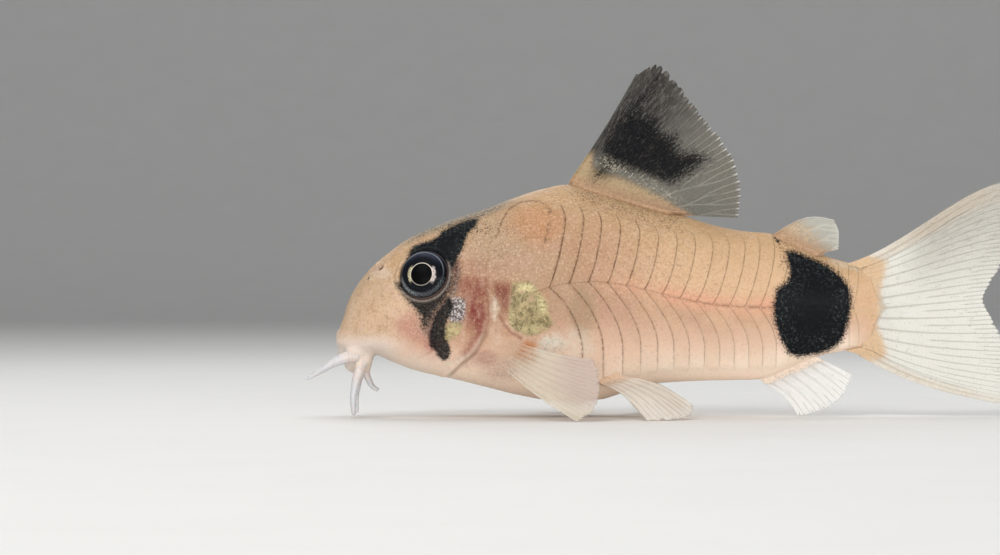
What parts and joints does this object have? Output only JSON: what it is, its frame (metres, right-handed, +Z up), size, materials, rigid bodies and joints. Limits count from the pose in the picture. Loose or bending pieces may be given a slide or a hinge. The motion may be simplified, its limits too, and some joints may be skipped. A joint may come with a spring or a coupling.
{
  "type": "panda corydoras catfish, still life-size model",
  "caption": "Life-size still model of a small armoured catfish at rest on its fins and barbels, with a raised back fin and a forked tail.",
  "frame": {"origin": "on the floor, below the middle of the whole animal's length and width", "axes": "+X from the snout to the tail, +Y to the animal's right side, +Z up"},
  "size_m": [0.0514, 0.0178, 0.0249],
  "materials": {
    "face_flesh": "moist skin, tan and pale pink",
    "pink_flesh": "moist skin over bony plates, pinkish tan",
    "pale_fin": "clear whitish web between pale rays",
    "dark_fin": "black web with a clear rear edge",
    "barbel_flesh": "pale translucent flesh",
    "eye_dark": "wet and glossy"
  },
  "bodies": {
    "root": {"head": "face_flesh", "trunk": "pink_flesh", "tail_stalk": "pink_flesh", "dorsal_fin": "dark_fin", "adipose_fin": "pale_fin", "anal_fin": "pale_fin", "caudal_fin": "pale_fin", "pectoral_fin_left": "pale_fin", "pectoral_fin_right": "pale_fin", "pelvic_fin_left": "pale_fin", "pelvic_fin_right": "pale_fin", "eye_left": "eye_dark", "eye_right": "eye_dark", "upper_barbel_left": "barbel_flesh", "upper_barbel_right": "barbel_flesh", "lower_barbel_left": "barbel_flesh", "lower_barbel_right": "barbel_flesh", "chin_barbel_left": "barbel_flesh", "chin_barbel_right": "barbel_flesh"}
  },
  "joints": []
}
